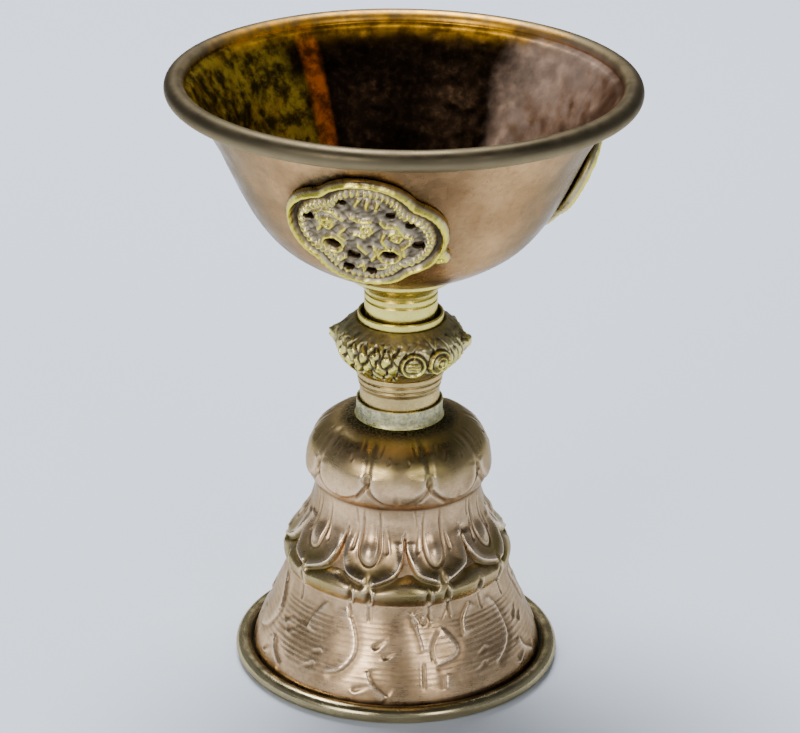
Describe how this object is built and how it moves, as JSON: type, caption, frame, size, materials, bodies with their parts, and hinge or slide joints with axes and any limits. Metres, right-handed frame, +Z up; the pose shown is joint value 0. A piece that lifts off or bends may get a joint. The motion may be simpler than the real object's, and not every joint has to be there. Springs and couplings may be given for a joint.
{
  "type": "butter lamp",
  "caption": "Wide copper bowl on a slim cast and turned brass stem over a chased bell-shaped foot, with pierced quatrefoil medallions on the bowl and a wick cup inside.",
  "frame": {"origin": "middle of the underside of the base dish, where the lamp stands", "axes": "+Z up along the lamp's axis, -Y through the middle of one medallion"},
  "size_m": [0.0816, 0.0816, 0.11],
  "materials": {
    "bowl_copper": "burnished copper with brown patina",
    "foot_copper": "chased copper, brushed and patinated",
    "base_bronze": "dark olive patina, worn bright on the roll",
    "cast_brass": "cast brass, rubbed bright with dark recesses",
    "turned_brass": "turned brass, satin with fine rings",
    "grey_brass": "dull grey brass",
    "wire_steel": "plain drawn wire",
    "rod_steel": "plain threaded rod and nut"
  },
  "bodies": {
    "foot": {"base_dish": "base_bronze", "base_wire": "wire_steel", "foot_shell": "foot_copper", "foot_nut": "rod_steel", "foot_washer": "rod_steel", "foot_collar": "grey_brass"},
    "knob": {"knob": "cast_brass", "knob_collar": "turned_brass", "lower_neck": "turned_brass"},
    "neck": {"upper_neck": "turned_brass"},
    "bowl": {"bowl_shell": "bowl_copper", "rim_wire": "wire_steel", "wick_cup": "turned_brass", "tie_rod": "rod_steel", "medallion_front": "cast_brass", "medallion_right": "cast_brass", "medallion_left": "cast_brass"}
  },
  "joints": [
    {"name": "knob_turn", "type": "hinge", "parent": "foot", "child": "knob", "pos_m": [0, 0, 0.0609], "axis": [0, 0, 1], "continuous": true},
    {"name": "bowl_rise", "type": "slide", "parent": "foot", "child": "neck", "axis": [0, 0, 1], "range_m": [0, 0.0075]},
    {"name": "bowl_turn", "type": "hinge", "parent": "neck", "child": "bowl", "pos_m": [0, 0, 0.0748], "axis": [0, 0, 1], "range_deg": [0, 2520]}
  ],
  "couplings": [
    {"joint": "bowl_rise", "follows": "bowl_turn", "m_per_rad": 0.00015915}
  ]
}
